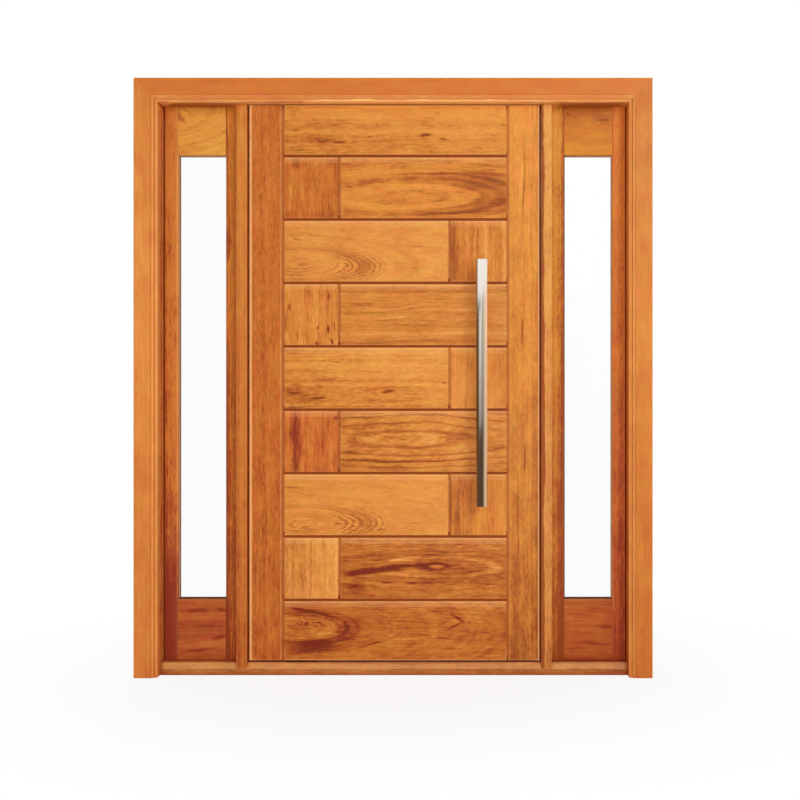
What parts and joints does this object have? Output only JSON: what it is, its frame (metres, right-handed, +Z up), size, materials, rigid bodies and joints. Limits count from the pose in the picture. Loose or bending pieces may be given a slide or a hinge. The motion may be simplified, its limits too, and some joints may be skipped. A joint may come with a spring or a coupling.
{
  "type": "timber pivot entrance door with fixed glazed sidelights",
  "caption": "Varnished boarded entrance door on vertical pivots with a flat steel pull bar, in a moulded timber frame with a fixed glazed sidelight on each side.",
  "frame": {"origin": "middle of the sill's underside, half way through the frame's depth", "axes": "+X to the right seen from outside, +Y inwards, +Z up"},
  "size_m": [1.942, 0.2159, 2.245],
  "materials": {
    "stile_wood": "satin varnish",
    "board_wood": "satin varnish",
    "block_wood": "satin varnish",
    "casing_wood": "satin varnish",
    "frame_wood": "satin varnish",
    "sidelight_wood": "satin varnish",
    "glass": "clear",
    "gasket": "matt",
    "brush_seal": "matt pile",
    "pull_steel": "polished",
    "pivot_steel": "satin"
  },
  "bodies": {
    "frame": {"jamb_left": "frame_wood", "jamb_right": "frame_wood", "frame_head": "frame_wood", "sill": "frame_wood", "mullion_left": "frame_wood", "mullion_right": "frame_wood", "casing_front_left": "casing_wood", "casing_front_right": "casing_wood", "casing_front_head": "casing_wood", "casing_back_left": "casing_wood", "casing_back_right": "casing_wood", "casing_back_head": "casing_wood", "sidelight_left_inner_stile": "sidelight_wood", "sidelight_left_outer_stile": "sidelight_wood", "sidelight_left_top_rail": "sidelight_wood", "sidelight_left_bottom_rail": "sidelight_wood", "sidelight_left_glass": "glass", "sidelight_left_gasket": "gasket", "sidelight_right_inner_stile": "sidelight_wood", "sidelight_right_outer_stile": "sidelight_wood", "sidelight_right_top_rail": "sidelight_wood", "sidelight_right_bottom_rail": "sidelight_wood", "sidelight_right_glass": "glass", "sidelight_right_gasket": "gasket", "pivot_pin_bottom": "pivot_steel", "pivot_pin_top": "pivot_steel"},
    "leaf": {"stile_left": "stile_wood", "stile_right": "stile_wood", "board_1": "board_wood", "board_2": "board_wood", "board_3": "board_wood", "board_4": "board_wood", "board_5": "board_wood", "board_6": "board_wood", "board_7": "board_wood", "board_8": "board_wood", "board_9": "board_wood", "block_2": "block_wood", "block_3": "block_wood", "block_4": "block_wood", "block_5": "block_wood", "block_6": "block_wood", "block_7": "block_wood", "block_8": "block_wood", "pull_front": "pull_steel", "pull_back": "pull_steel", "pivot_socket_bottom": "pivot_steel", "pivot_socket_top": "pivot_steel", "edge_seal_left": "brush_seal", "edge_seal_right": "brush_seal"}
  },
  "joints": [
    {"name": "leaf_pivot", "type": "hinge", "parent": "frame", "child": "leaf", "pos_m": [-0.35, -0.0335, 0.051], "axis": [0, 0, 1], "range_deg": [0, 90]}
  ]
}
